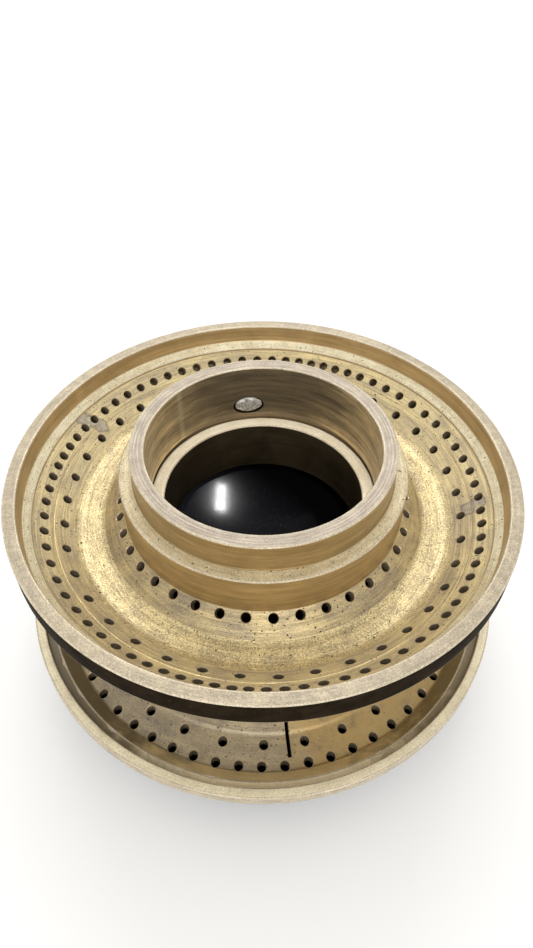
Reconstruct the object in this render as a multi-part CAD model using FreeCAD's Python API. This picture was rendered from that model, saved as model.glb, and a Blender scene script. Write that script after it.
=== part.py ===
"""Two-deck brass ring burner: two turned, drilled brass heads nested on a closed, enamelled gas bowl.

Millimetres, +Z up, burner axis on Z, origin at the centre of the resting face. The gas inlet points to +Y.
Gas enters the bowl, fills the bell of the lower head and rises through the shoulder of its hub into the
chamber of the upper head. The neck of the lower head is the spigot that the upper head stands and turns on.
"""
import FreeCAD, Part
import math
import os

from FreeCAD import Vector

Z_AXIS = Vector(0, 0, 1)
ORIGIN = Vector(0, 0, 0)

# Ports, slot and small breaks
PORT_D = 2.5
PORT_REACH = 6.0          # half length of a port drill, measured along the drill
SLOT_WIDTH = 1.0
EDGE_BREAK = 0.4          # bevel on the turned edges
SEAT_GAP = 0.05           # between parts that only rest on each other

# Bowl
BOWL_TOP_Z = 19.0
BOWL_TOP_R = 65.8
BOWL_FLANGE_Z = 13.5      # the wall flares less above this height
BOWL_FLANGE_R = 64.9
BOWL_FOOT_R = 59.4
BOWL_FOOT_IN_R = 53.0
BOWL_RIM_IN_R = 61.4
BOWL_FLOOR_R = 56.5
BOWL_RECESS_Z = 1.5
BOWL_FLOOR_Z = 4.5
SOCKET_R = 29.5           # outside of the low ring that holds the centre post
SOCKET_TOP_Z = 10.0
BOSS_R = 6.0
BOSS_TOP_Z = 13.0
BOLT_CIRCLE_R = 42.0
BOLT_COUNT = 3
BOLT_HOLE_R = 2.1         # tapping size for M5
BOLT_DEPTH = 10.0

# Gas inlet at the back
INLET_Z = 9.5
BLOCK_HALF_WIDTH = 11.0
BLOCK_Y = (50.0, 77.0)
BLOCK_TOP_Z = 18.5
BLOCK_CORNER_R = 3.0
BUSH_R = 7.5
BUSH_INNER_Y = 64.0
BUSH_HEX_FLATS = 16.0
BUSH_HEX_LENGTH = 5.0
INLET_THREAD_R = 5.72     # minor radius of a G 1/4 thread
INLET_THREAD_LENGTH = 12.0
INLET_PASSAGE_R = 3.6

# Centre post, a hollow post with a dished cap that fills the neck of the lower head
POST_R = 26.9
POST_WALL = 1.4
POST_TOP_Z = 49.5
POST_ROOF_Z = 42.0        # underside of the cap
CAP_DISH_R = 60.0         # radius of the sphere that dishes the cap
CAP_DISH_BOTTOM_Z = 43.8

# Gasket and dowel between the bowl and the lower head
GASKET_R = (61.6, 65.4)
DOWEL_R = 1.25
DOWEL_CIRCLE_R = 63.3
DOWEL_ANGLE = 62.0
DOWEL_Z = (14.5, 21.8)
DOWEL_HOLE_R = 1.45
DOWEL_HOLE_TOP_Z = 22.2

# Lower head. A row of ports is (count, radius, angle of the first port, drifts).
LOWER_SEAT_Z = 20.0
LOWER_RIM_R = 69.4
LOWER_RIM_IN_R = 66.8
LOWER_RIM_Z = 30.4
LOWER_LEDGE_Z = 28.0
LOWER_VALLEY = (60.3, 23.5)
LOWER_CONE_FOOT = (51.4, 26.2)
HUB_R = 38.1
LOWER_CONE_HEAD_Z = 42.0
LOWER_HUB_Z = 48.0
SLEEVE_R = 32.6           # skirt under the shoulder that grips the neck
SLEEVE_FOOT_Z = 36.0
LOWER_OUTER_ROW = (58, 59.1, -139.48, ((0.87, 3, 0.79),))
LOWER_SECOND_ROW = (31, 53.9, -136.03, ())
SLOT_ANGLE = -82.6
SLOT_R = (44.0, 57.3)

# Neck of the lower head
NECK_R_IN = 27.2
NECK_R_OUT = 30.9
NECK_TOP_Z = 65.6

# Gas passages between the heads
PASSAGE_COUNT = 12
PASSAGE_CIRCLE_R = 34.8
PASSAGE_R = 1.4

# Seal ring between the heads
SEAL_R = (31.2, 38.0)
SEAL_THICKNESS = 0.9

# Upper head
UPPER_SEAT_Z = 49.0
SOCKET_IN_R = 31.3        # counterbore that slips over the neck
SOCKET_END_Z = 67.0
COLLAR_BORE_R = 30.6
COLLAR_R = 34.5
COLLAR_TOP_Z = 84.8
SHOULDER_Z = 76.6
HUB_FOOT_Z = 64.9
SPIGOT_R = 35.4           # part of the collar that the dish is pressed on
SPIGOT_FOOT_Z = 60.0
TAIL_R = 33.3
UPPER_RIM_R = 67.4
UPPER_RIM_IN_R = 64.05
UPPER_RIM_Z = 76.0
UPPER_RIM_FOOT_Z = 68.5
BAND_OUT = (63.8, 70.9)
BAND_IN = (61.6, 69.0)
OUTER_CONE_HEAD = (61.6, 68.5)
VALLEY_R = (44.4, 50.6)
VALLEY_Z = 60.7
UPPER_OUTER_ROW = (78, 58.8, -174.68, ((2.1, 1, 1.94), (1.32, 2, -0.03), (0.64, 3, -1.41), (1.66, 4, -1.63),
                                       (0.32, 7, -1.4)))
UPPER_SECOND_ROW = (39, 54.2, -179.46, ((1.66, 1, 1.51), (1.05, 2, -1.99)))
UPPER_INNER_ROW = (38, 39.5, -169.51, ((2.09, 1, 2.7), (1.04, 2, 3.09)))

# Chamber pan under the upper head
PAN_RIM_R = (64.0, 65.2)
PAN_FLOOR_TOP_Z = 50.2
PAN_SKIRT_R = (36.3, 37.6)
PAN_SKIRT_TOP_Z = 53.0

# Plug in the cross-drilled hole of the collar
PLUG_ANGLE = 98.7
PLUG_Z = 71.1
PLUG_R = 2.6
PLUG_HEAD = (4.2, 2.9)    # half width and half height of its oval head
PLUG_HEAD_DEPTH = 0.8


def turned(outline):
    """Solid of revolution about Z from a closed outline of (radius, height) points."""
    points = [Vector(radius, 0, height) for radius, height in outline]
    points.append(points[0])
    face = Part.Face(Part.makePolygon(points))
    return face.revolve(ORIGIN, Z_AXIS, 360)


def ring(inner_r, outer_r, low_z, high_z):
    """Plain ring of rectangular section."""
    return turned([(inner_r, low_z), (outer_r, low_z), (outer_r, high_z), (inner_r, high_z)])


def at_polar(radius, angle, height):
    """Point at a radius and an angle in degrees about Z."""
    turn = math.radians(angle)
    return Vector(radius * math.cos(turn), radius * math.sin(turn), height)


def height_on(line, radius):
    """Height at a radius on the straight line through two (radius, height) points."""
    (r0, z0), (r1, z1) = line
    return z0 + (z1 - z0) * (radius - r0) / (r1 - r0)


def upright(radius, angle, low_z, high_z, circle_r):
    """Vertical cylinder whose axis stands on a circle about Z."""
    return Part.makeCylinder(radius, high_z - low_z, at_polar(circle_r, angle, low_z), Z_AXIS)


def port_row(row, line, lean):
    """Drills for one row of ports; lean tips the top of each drill away from the axis, in degrees."""
    count, circle_r, start_angle, drifts = row
    height = height_on(line, circle_r)
    drills = []
    for angle in indexed_angles(count, start_angle, drifts):
        tip = math.radians(lean)
        axis = at_polar(math.sin(tip), angle, math.cos(tip))
        start = at_polar(circle_r, angle, height) - axis * PORT_REACH
        drills.append(Part.makeCylinder(PORT_D / 2, 2 * PORT_REACH, start, axis))
    return drills


def even_angles(count, start):
    """Evenly spaced angles in degrees."""
    return [start + 360.0 * index / count for index in range(count)]


def indexed_angles(count, start, drifts):
    """Angles of a row that was indexed by hand: each drift is (degrees, waves round the circle, phase)."""
    angles = []
    for index in range(count):
        turn = 2 * math.pi * index / count
        drift = sum(size * math.sin(waves * turn + phase) for size, waves, phase in drifts)
        angles.append(start + math.degrees(turn) + drift)
    return angles


def base_bowl():
    """Closed gas bowl with foot ring, post socket, three bolt bosses and the inlet block."""
    inner_wall = [(BOWL_FLOOR_R, BOWL_FLOOR_Z), (BOWL_RIM_IN_R, BOWL_TOP_Z)]
    bowl = turned([
        (0, BOWL_RECESS_Z), (BOWL_FOOT_IN_R, BOWL_RECESS_Z), (BOWL_FOOT_IN_R, 0), (BOWL_FOOT_R, 0),
        (BOWL_FOOT_R + 1, 1), (BOWL_FLANGE_R, BOWL_FLANGE_Z), (BOWL_TOP_R, BOWL_TOP_Z - EDGE_BREAK),
        (BOWL_TOP_R - EDGE_BREAK, BOWL_TOP_Z), inner_wall[1], inner_wall[0], (SOCKET_R, BOWL_FLOOR_Z),
        (SOCKET_R - 0.5, SOCKET_TOP_Z), (POST_R, SOCKET_TOP_Z), (POST_R, BOWL_FLOOR_Z), (0, BOWL_FLOOR_Z)])
    chamber = turned([(SOCKET_R, BOWL_FLOOR_Z), inner_wall[0], inner_wall[1], (SOCKET_R, BOWL_TOP_Z)])
    block = Part.makeBox(2 * BLOCK_HALF_WIDTH, BLOCK_Y[1] - BLOCK_Y[0], BLOCK_TOP_Z,
                         Vector(-BLOCK_HALF_WIDTH, BLOCK_Y[0], 0))
    outer_uprights = [edge for edge in block.Edges
                      if edge.CenterOfMass.y > BLOCK_Y[1] - 0.01 and abs(edge.CenterOfMass.x) > BLOCK_HALF_WIDTH - 0.01]
    block = block.makeFillet(BLOCK_CORNER_R, outer_uprights)
    bowl = bowl.fuse(block.cut(chamber))
    bolt_angles = even_angles(BOLT_COUNT, -90)
    for angle in bolt_angles:
        bowl = bowl.fuse(upright(BOSS_R, angle, 0, BOSS_TOP_Z, BOLT_CIRCLE_R))
    cuts = [upright(BOLT_HOLE_R, angle, 0, BOLT_DEPTH, BOLT_CIRCLE_R) for angle in bolt_angles]
    cuts.append(upright(DOWEL_R, DOWEL_ANGLE, DOWEL_Z[0], BOWL_TOP_Z, DOWEL_CIRCLE_R))
    cuts.append(along_y(BUSH_R, BUSH_INNER_Y, BLOCK_Y[1]))
    cuts.append(along_y(INLET_PASSAGE_R, BLOCK_Y[0], BUSH_INNER_Y))
    return bowl.cut(cuts).removeSplitter()


def along_y(radius, low_y, high_y):
    """Cylinder on the inlet axis."""
    return Part.makeCylinder(radius, high_y - low_y, Vector(0, low_y, INLET_Z), Vector(0, 1, 0))


def inlet_bush():
    """Threaded brass bush with a hexagon, screwed into the inlet block."""
    corner_r = BUSH_HEX_FLATS / math.sqrt(3)
    corners = []
    for index in range(7):
        turn = math.radians(60 * index)
        corners.append(Vector(corner_r * math.cos(turn), BLOCK_Y[1], INLET_Z + corner_r * math.sin(turn)))
    hexagon = Part.Face(Part.makePolygon(corners)).extrude(Vector(0, BUSH_HEX_LENGTH, 0))
    end_y = BLOCK_Y[1] + BUSH_HEX_LENGTH
    turned_corners = Part.makeCone(corner_r + BUSH_HEX_LENGTH - 0.6, corner_r - 0.6, BUSH_HEX_LENGTH,
                                   Vector(0, BLOCK_Y[1], INLET_Z), Vector(0, 1, 0))
    bush = along_y(BUSH_R, BUSH_INNER_Y, BLOCK_Y[1]).fuse(hexagon.common(turned_corners))
    thread = along_y(INLET_THREAD_R, end_y - INLET_THREAD_LENGTH, end_y)
    passage = along_y(INLET_PASSAGE_R, BUSH_INNER_Y, end_y)
    return bush.cut([thread, passage]).removeSplitter()


def centre_post():
    """Hollow enamelled post that centres the lower head; its dished cap closes the well to the gas."""
    inner_r = POST_R - POST_WALL
    post = turned([
        (0, POST_ROOF_Z), (inner_r, POST_ROOF_Z), (inner_r, BOWL_FLOOR_Z), (POST_R, BOWL_FLOOR_Z),
        (POST_R, POST_TOP_Z - EDGE_BREAK), (POST_R - EDGE_BREAK, POST_TOP_Z), (0, POST_TOP_Z)])
    return post.cut(Part.makeSphere(CAP_DISH_R, Vector(0, 0, CAP_DISH_BOTTOM_Z + CAP_DISH_R)))


def bowl_gasket():
    """Flat gasket on the rim of the bowl, with a hole for the dowel."""
    gasket = ring(GASKET_R[0], GASKET_R[1], BOWL_TOP_Z, LOWER_SEAT_Z - SEAT_GAP)
    return gasket.cut(upright(DOWEL_HOLE_R, DOWEL_ANGLE, BOWL_TOP_Z, LOWER_SEAT_Z, DOWEL_CIRCLE_R))


def locating_dowel():
    """Dowel that stops the lower head from turning on the bowl."""
    dowel = upright(DOWEL_R, DOWEL_ANGLE, DOWEL_Z[0], DOWEL_Z[1], DOWEL_CIRCLE_R)
    top_edges = [edge for edge in dowel.Edges if edge.CenterOfMass.z > DOWEL_Z[1] - 0.01]
    return dowel.makeChamfer(EDGE_BREAK, top_edges)


def passages(low_z, high_z):
    """Drills for the ring of gas passages between the heads."""
    return [upright(PASSAGE_R, angle, low_z, high_z, PASSAGE_CIRCLE_R)
            for angle in even_angles(PASSAGE_COUNT, 15)]


def lower_port_pan():
    """Ported pan of the lower head: rim, ledge, shallow floor, bell and hub shoulder."""
    wall = 3.0
    floor_line = (LOWER_CONE_FOOT, LOWER_VALLEY)
    pan = turned([
        (NECK_R_OUT, SLEEVE_FOOT_Z), (SLEEVE_R, SLEEVE_FOOT_Z), (SLEEVE_R, LOWER_CONE_HEAD_Z),
        (HUB_R - 3.9, LOWER_CONE_HEAD_Z), (HUB_R - 2.3, LOWER_CONE_HEAD_Z - 1.9),
        (LOWER_CONE_FOOT[0] - 2.3, LOWER_CONE_FOOT[1] - 1.9),
        (LOWER_CONE_FOOT[0] - 0.8, LOWER_CONE_FOOT[1] - wall), (LOWER_VALLEY[0] + 0.6, LOWER_VALLEY[1] - wall),
        (LOWER_VALLEY[0] + 0.6, LOWER_SEAT_Z), (LOWER_RIM_R - 3.4, LOWER_SEAT_Z),
        (LOWER_RIM_R - 2.9, LOWER_SEAT_Z + 0.5), (LOWER_RIM_R, LOWER_RIM_Z - 3.6),
        (LOWER_RIM_R, LOWER_RIM_Z - EDGE_BREAK), (LOWER_RIM_R - EDGE_BREAK, LOWER_RIM_Z),
        (LOWER_RIM_IN_R + 0.2, LOWER_RIM_Z), (LOWER_RIM_IN_R, LOWER_RIM_Z - 0.2),
        (LOWER_RIM_IN_R - 0.1, LOWER_LEDGE_Z + 0.1), (LOWER_VALLEY[0] + 4.1, LOWER_LEDGE_Z),
        (LOWER_VALLEY[0] + 3.9, LOWER_LEDGE_Z - 0.3), LOWER_VALLEY, LOWER_CONE_FOOT,
        (HUB_R, LOWER_CONE_HEAD_Z), (HUB_R, LOWER_HUB_Z - EDGE_BREAK), (HUB_R - EDGE_BREAK, LOWER_HUB_Z),
        (NECK_R_OUT, LOWER_HUB_Z)])
    cuts = passages(LOWER_CONE_HEAD_Z - 4, LOWER_HUB_Z)
    for row in (LOWER_OUTER_ROW, LOWER_SECOND_ROW):
        cuts += port_row(row, floor_line, 0)
    slot = Part.makeBox(SLOT_R[1] - SLOT_R[0], SLOT_WIDTH, 30, Vector(SLOT_R[0], -SLOT_WIDTH / 2, LOWER_SEAT_Z))
    slot.rotate(ORIGIN, Z_AXIS, SLOT_ANGLE)
    cuts.append(slot)
    cuts.append(upright(DOWEL_HOLE_R, DOWEL_ANGLE, LOWER_SEAT_Z, DOWEL_HOLE_TOP_Z, DOWEL_CIRCLE_R))
    return pan.cut(cuts)


def lower_neck():
    """Neck tube pressed into the hub of the lower head."""
    return turned([
        (NECK_R_IN, SLEEVE_FOOT_Z), (NECK_R_OUT, SLEEVE_FOOT_Z), (NECK_R_OUT, NECK_TOP_Z - EDGE_BREAK),
        (NECK_R_OUT - EDGE_BREAK, NECK_TOP_Z), (NECK_R_IN + 0.3, NECK_TOP_Z), (NECK_R_IN, NECK_TOP_Z - 0.3)])


def upper_seal_ring():
    """Flat graphite ring that the upper head turns on, with a hole over each gas passage."""
    low_z = LOWER_HUB_Z + SEAT_GAP
    blank = ring(SEAL_R[0], SEAL_R[1], low_z, low_z + SEAL_THICKNESS)
    return blank.cut(passages(LOWER_HUB_Z, UPPER_SEAT_Z))


def upper_port_dish():
    """Dish of the upper head: rim, bright band and a V groove with three rows of ports."""
    outer_cone = ((VALLEY_R[1], VALLEY_Z), OUTER_CONE_HEAD)
    inner_cone = ((HUB_R, HUB_FOOT_Z), (VALLEY_R[0], VALLEY_Z))
    wall = 3.4
    dish = turned([
        (SPIGOT_R, HUB_FOOT_Z), (SPIGOT_R, HUB_FOOT_Z - wall), (HUB_R, HUB_FOOT_Z - wall),
        (VALLEY_R[0], VALLEY_Z - wall), (VALLEY_R[1] + 0.3, VALLEY_Z - wall),
        (PAN_RIM_R[0], OUTER_CONE_HEAD[1] - 2.0), (PAN_RIM_R[0], UPPER_RIM_FOOT_Z),
        (UPPER_RIM_R - EDGE_BREAK, UPPER_RIM_FOOT_Z), (UPPER_RIM_R, UPPER_RIM_FOOT_Z + EDGE_BREAK),
        (UPPER_RIM_R, UPPER_RIM_Z - EDGE_BREAK), (UPPER_RIM_R - EDGE_BREAK, UPPER_RIM_Z),
        (UPPER_RIM_IN_R + EDGE_BREAK, UPPER_RIM_Z), (UPPER_RIM_IN_R, UPPER_RIM_Z - EDGE_BREAK),
        BAND_OUT, BAND_IN, OUTER_CONE_HEAD, (VALLEY_R[1], VALLEY_Z), (VALLEY_R[0], VALLEY_Z),
        (HUB_R, HUB_FOOT_Z)])
    outer_lean = -math.degrees(math.atan2(outer_cone[1][1] - outer_cone[0][1], outer_cone[1][0] - outer_cone[0][0]))
    inner_lean = math.degrees(math.atan2(inner_cone[0][1] - inner_cone[1][1], inner_cone[1][0] - inner_cone[0][0]))
    drills = []
    for row, line, lean in ((UPPER_OUTER_ROW, outer_cone, outer_lean), (UPPER_SECOND_ROW, outer_cone, outer_lean),
                            (UPPER_INNER_ROW, inner_cone, inner_lean)):
        drills += port_row(row, line, lean)
    return dish.cut(drills)


def plug_shapes():
    """Round shank and oval head of the plug, on the radial line where the collar was cross-drilled."""
    outward = at_polar(1, PLUG_ANGLE, 0)
    centre = Vector(0, 0, PLUG_Z)
    shank = Part.makeCylinder(PLUG_R, HUB_R - COLLAR_BORE_R + 2, centre + outward * (COLLAR_BORE_R - 1), outward)
    shank = shank.common(ring(COLLAR_BORE_R, HUB_R, PLUG_Z - 5, PLUG_Z + 5))
    oval = Part.Ellipse(centre, PLUG_HEAD[0], PLUG_HEAD[1])
    oval_face = Part.Face(Part.Wire(oval.toShape()))
    sideways = Vector(-outward.y, outward.x, 0)
    placed = FreeCAD.Placement(centre, FreeCAD.Rotation(sideways, Z_AXIS, outward, "ZXY"))
    oval_face.Placement = placed.multiply(FreeCAD.Placement(centre, FreeCAD.Rotation()).inverse())
    head = oval_face.extrude(outward * (COLLAR_BORE_R + 5))
    head = head.common(ring(COLLAR_BORE_R, COLLAR_BORE_R + PLUG_HEAD_DEPTH, PLUG_Z - 5, PLUG_Z + 5))
    return shank, head


def upper_collar():
    """Stepped centre collar with its shoulder, hub wall and the counterbored tail that slips over the neck."""
    collar = turned([
        (SOCKET_IN_R, UPPER_SEAT_Z), (TAIL_R, UPPER_SEAT_Z), (TAIL_R, SPIGOT_FOOT_Z - 1.5),
        (SPIGOT_R, SPIGOT_FOOT_Z), (SPIGOT_R, HUB_FOOT_Z), (HUB_R, HUB_FOOT_Z),
        (HUB_R, SHOULDER_Z - EDGE_BREAK), (HUB_R - EDGE_BREAK, SHOULDER_Z), (COLLAR_R + 0.2, SHOULDER_Z),
        (COLLAR_R, SHOULDER_Z + 0.2), (COLLAR_R, COLLAR_TOP_Z - EDGE_BREAK),
        (COLLAR_R - EDGE_BREAK, COLLAR_TOP_Z), (COLLAR_BORE_R + EDGE_BREAK, COLLAR_TOP_Z),
        (COLLAR_BORE_R, COLLAR_TOP_Z - EDGE_BREAK), (COLLAR_BORE_R, SOCKET_END_Z),
        (SOCKET_IN_R, SOCKET_END_Z)])
    return collar.cut(list(plug_shapes()))


def collar_plug():
    """Plug that closes the cross-drilled hole, flush with the bore."""
    shank, head = plug_shapes()
    return shank.fuse(head).removeSplitter()


def upper_chamber_pan():
    """Pressed pan under the dish that closes the gas chamber of the upper head."""
    return turned([
        (PAN_RIM_R[1], UPPER_RIM_FOOT_Z), (PAN_RIM_R[1], UPPER_RIM_FOOT_Z - 3.3), (53.0, UPPER_SEAT_Z + 0.6),
        (52.2, UPPER_SEAT_Z), (PAN_SKIRT_R[0], UPPER_SEAT_Z), (PAN_SKIRT_R[0], PAN_SKIRT_TOP_Z),
        (PAN_SKIRT_R[1], PAN_SKIRT_TOP_Z), (PAN_SKIRT_R[1], PAN_FLOOR_TOP_Z), (51.6, PAN_FLOOR_TOP_Z),
        (PAN_RIM_R[0], UPPER_RIM_FOOT_Z - 2.9), (PAN_RIM_R[0], UPPER_RIM_FOOT_Z)])


NODES = [base_bowl, inlet_bush, centre_post, bowl_gasket, locating_dowel, lower_port_pan, lower_neck,
         upper_seal_ring, upper_port_dish, upper_collar, collar_plug, upper_chamber_pan]


def main():
    os.makedirs("parts", exist_ok=True)
    for make in NODES:
        shape = make()
        shape.exportStep("parts/%s.step" % make.__name__)
        print("%-18s solids %d valid %s volume %.0f" % (make.__name__, len(shape.Solids), shape.isValid(), shape.Volume))


main()
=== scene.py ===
import math
import random

import bmesh
import bpy
from mathutils import Euler, Matrix, Vector


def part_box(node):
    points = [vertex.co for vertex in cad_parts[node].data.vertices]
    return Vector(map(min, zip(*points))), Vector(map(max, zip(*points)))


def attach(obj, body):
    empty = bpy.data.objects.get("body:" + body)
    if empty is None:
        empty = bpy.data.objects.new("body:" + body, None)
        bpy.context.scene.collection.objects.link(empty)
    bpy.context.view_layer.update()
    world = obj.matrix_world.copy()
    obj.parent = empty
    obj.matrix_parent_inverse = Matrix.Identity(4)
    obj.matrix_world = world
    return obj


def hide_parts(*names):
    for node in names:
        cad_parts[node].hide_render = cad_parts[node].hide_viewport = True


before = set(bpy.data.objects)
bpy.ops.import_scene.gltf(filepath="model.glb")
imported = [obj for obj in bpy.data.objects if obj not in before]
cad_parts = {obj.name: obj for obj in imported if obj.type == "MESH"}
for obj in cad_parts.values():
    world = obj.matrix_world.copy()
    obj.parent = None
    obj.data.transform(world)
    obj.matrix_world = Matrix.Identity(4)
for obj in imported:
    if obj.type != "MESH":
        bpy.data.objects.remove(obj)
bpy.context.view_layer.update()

# The two-deck brass ring burner. Lengths are in millimetres here and become metres in the meshes.
MM = 0.001


def node_mm(node):
    """Lowest and highest corner of a CAD node, in millimetres."""
    low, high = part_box(node)
    return low / MM, high / MM


DISH_LOW, DISH_HIGH = node_mm("upper_port_dish")
COLLAR_LOW, COLLAR_HIGH = node_mm("upper_collar")
PAN_LOW, PAN_HIGH = node_mm("lower_port_pan")
NECK_LOW, NECK_HIGH = node_mm("lower_neck")
POST_LOW, POST_HIGH = node_mm("centre_post")

HUB_R = COLLAR_HIGH.x
TOP_Z = COLLAR_HIGH.z
COLLAR_R = HUB_R - 3.6
BORE_R = HUB_R - 7.5
SHOULDER_Z = TOP_Z - 8.2
SOCKET_END_Z = TOP_Z - 17.8
PLUG_ANGLE = 98.7
PLUG_Z = 71.1
PLUG_HALF = (4.2, 2.9)

# ------------------------------------------------------------------ turned shapes

ROUND_STEPS = 4             # rows across a rounded corner
PORT_R = 1.25
PORT_BREAK = 0.16           # width of the broken edge round a port


def soften(outline):
    """Rounds the marked corners of a closed outline of (radius, height, zone, round, edge zone)."""
    rows = []
    for index, (r, z, zone, *marks) in enumerate(outline):
        size = marks[0] if marks else 0
        corner = Vector((r, z))
        before = Vector(outline[index - 1][:2])
        after = Vector(outline[(index + 1) % len(outline)][:2])
        size = min(size, 0.45 * (before - corner).length, 0.45 * (after - corner).length)
        if size <= 0:
            rows.append((corner, zone))
            continue
        start = corner + (before - corner).normalized() * size
        end = corner + (after - corner).normalized() * size
        edge_zone = marks[1] if len(marks) > 1 else zone
        for step in range(ROUND_STEPS + 1):
            t = step / ROUND_STEPS
            point = start * (1 - t) ** 2 + corner * 2 * t * (1 - t) + end * t ** 2
            rows.append((point, edge_zone if step < ROUND_STEPS else zone))
    return rows


def divide(rows, steps):
    """Adds rows so that no stretch of a zone is longer than its step."""
    result = []
    for index, (point, zone) in enumerate(rows):
        after = rows[(index + 1) % len(rows)][0]
        count = max(1, math.ceil((after - point).length / steps.get(zone, steps["other"])))
        result += [(point.lerp(after, part / count), zone) for part in range(count)]
    return result


def even_turn(count):
    """Evenly spaced angles in radians."""
    return [2 * math.pi * index / count for index in range(count)]


def lathe(name, outline, angles, materials, steps, relief=None):
    """A body of revolution. relief(r, z, angle, zone) moves a point by (outwards, upwards) millimetres."""
    rows = divide(soften(outline), steps)
    area = sum(rows[i - 1][0].x * rows[i][0].y - rows[i][0].x * rows[i - 1][0].y for i in range(len(rows)))
    if area < 0:
        points = [point for point, _ in rows][::-1]
        zones = [zone for _, zone in rows][::-1]
        rows = list(zip(points, zones[1:] + zones[:1]))
    verts = []
    for point, zone in rows:
        for angle in angles:
            out, up = relief(point.x, point.y, angle, zone) if relief else (0, 0)
            radius = (point.x + out) * MM
            verts.append((radius * math.cos(angle), radius * math.sin(angle), (point.y + up) * MM))
    count = len(angles)
    faces, slots = [], []
    looks = list(dict.fromkeys(materials.values()))
    for j, (_, zone) in enumerate(rows):
        k = (j + 1) % len(rows)
        slot = looks.index(materials.get(zone, materials["other"]))
        for i in range(count):
            n = (i + 1) % count
            faces.append((j * count + i, j * count + n, k * count + n, k * count + i))
            slots.append(slot)
    mesh = bpy.data.meshes.new(name)
    mesh.from_pydata(verts, [], faces)
    for look in looks:
        mesh.materials.append(look)
    mesh.polygons.foreach_set("material_index", slots)
    if min(point.x for point, _ in rows) < 0.001:
        weld(mesh)
    return finish_mesh(name, mesh)


def weld(mesh):
    """Joins vertices that fall on each other, at the middle of a closed disc."""
    shell = bmesh.new()
    shell.from_mesh(mesh)
    bmesh.ops.remove_doubles(shell, verts=shell.verts, dist=1e-7)
    bmesh.ops.dissolve_degenerate(shell, edges=shell.edges, dist=1e-8)
    shell.to_mesh(mesh)
    shell.free()


SHARP_ANGLE = math.radians(32)


def finish_mesh(name, mesh):
    """Object of a mesh, smooth apart from its sharp edges."""
    mesh.validate()
    mesh.shade_smooth()
    mesh.set_sharp_from_angle(angle=SHARP_ANGLE)
    piece = bpy.data.objects.new(name, mesh)
    bpy.context.scene.collection.objects.link(piece)
    return piece


class Bits:
    """Closed drill bits and saw blades gathered in one mesh, to be cut out of a piece."""

    def __init__(self):
        self.verts, self.faces, self.slots = [], [], []

    def rings(self, rings, slots):
        """A closed bit through rings of points. slots has one material number per wall, and each end
        takes that of the wall beside it."""
        base = len(self.verts)
        count = len(rings[0])
        for ring in rings:
            self.verts += [point * MM for point in ring]
        self.faces.append([base + i for i in range(count)][::-1])
        self.slots.append(slots[0])
        for level, slot in enumerate(slots):
            low = base + level * count
            for i in range(count):
                n = (i + 1) % count
                self.faces.append((low + i, low + n, low + count + n, low + count + i))
                self.slots.append(slot)
        top = base + len(slots) * count
        self.faces.append([top + i for i in range(count)])
        self.slots.append(slots[-1])

    def drill(self, point, axis, slope, depth, radius=PORT_R, sides=28, wobble=0.0, seed=0):
        """A port: a straight hole with a broken edge that follows the slope of the surface."""
        dice = random.Random(seed)
        outward = Vector((point.x, point.y, 0)).normalized()
        outward = (outward - axis * outward.dot(axis)).normalized()
        side = axis.cross(outward)
        edge = PORT_BREAK * dice.uniform(0.7, 1.35)
        lean = [dice.uniform(-wobble, wobble) for _ in range(2)]
        levels = [(-depth, radius), (-edge, radius), (edge, radius + 2 * edge), (0.9, radius + 2 * edge)]
        rings = []
        for height, r in levels:
            ring = []
            for i in range(sides):
                turn = 2 * math.pi * i / sides
                across, along = r * math.cos(turn), r * math.sin(turn)
                rise = height + (slope * across if height > -depth else 0)
                ring.append(point + outward * (across + lean[0]) + side * (along + lean[1]) + axis * rise)
            rings.append(ring)
        self.rings(rings, [0, 1, 1])

    def make(self, name, materials):
        """The object that cut takes out of a piece."""
        mesh = bpy.data.meshes.new(name)
        mesh.from_pydata([tuple(v) for v in self.verts], [], self.faces)
        for material in materials:
            mesh.materials.append(material)
        mesh.polygons.foreach_set("material_index", self.slots)
        piece = bpy.data.objects.new(name, mesh)
        bpy.context.scene.collection.objects.link(piece)
        return piece


def cut(piece, bits):
    """Cuts the bits out of the piece, whose cut walls take the materials of the bits."""
    modifier = piece.modifiers.new("cut", "BOOLEAN")
    modifier.operation = "DIFFERENCE"
    modifier.solver = "EXACT"
    modifier.material_mode = "TRANSFER"
    modifier.object = bits
    graph = bpy.context.evaluated_depsgraph_get()
    mesh = bpy.data.meshes.new_from_object(piece.evaluated_get(graph))
    piece.modifiers.clear()
    piece.data = mesh
    bpy.data.objects.remove(bits)
    mesh.shade_smooth()
    mesh.set_sharp_from_angle(angle=SHARP_ANGLE)


def polar(radius, angle, height):
    """Point at a radius, an angle in degrees and a height."""
    turn = math.radians(angle)
    return Vector((radius * math.cos(turn), radius * math.sin(turn), height))


def indexed_angles(count, start, drifts=()):
    """Angles of a row that was indexed by hand: each drift is (degrees, waves round the circle, phase)."""
    angles = []
    for index in range(count):
        turn = 2 * math.pi * index / count
        drift = sum(size * math.sin(waves * turn + phase) for size, waves, phase in drifts)
        angles.append(start + math.degrees(turn) + drift)
    return angles


def grooved(line, r_from, r_to, count, depth, zone, seed):
    """Points on a line between two radii, with shallow turned grooves at uneven places."""
    dice = random.Random(seed)
    places = sorted(dice.uniform(r_from, r_to) for _ in range(count))
    points = []
    last = r_from - 1
    for radius in places:
        half = dice.uniform(0.10, 0.2)
        if radius - half < last + 0.12:
            continue
        sink = depth * dice.uniform(0.3, 1.0)
        points.append((radius - half, on_line(line, radius - half), zone))
        points.append((radius, on_line(line, radius) - sink, zone))
        points.append((radius + half, on_line(line, radius + half), zone))
        last = radius + half
    return points


def on_line(line, radius):
    """Height at a radius on a straight line through two (radius, height) points."""
    (r0, z0), (r1, z1) = line
    return z0 + (z1 - z0) * (radius - r0) / (r1 - r0)


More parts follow.
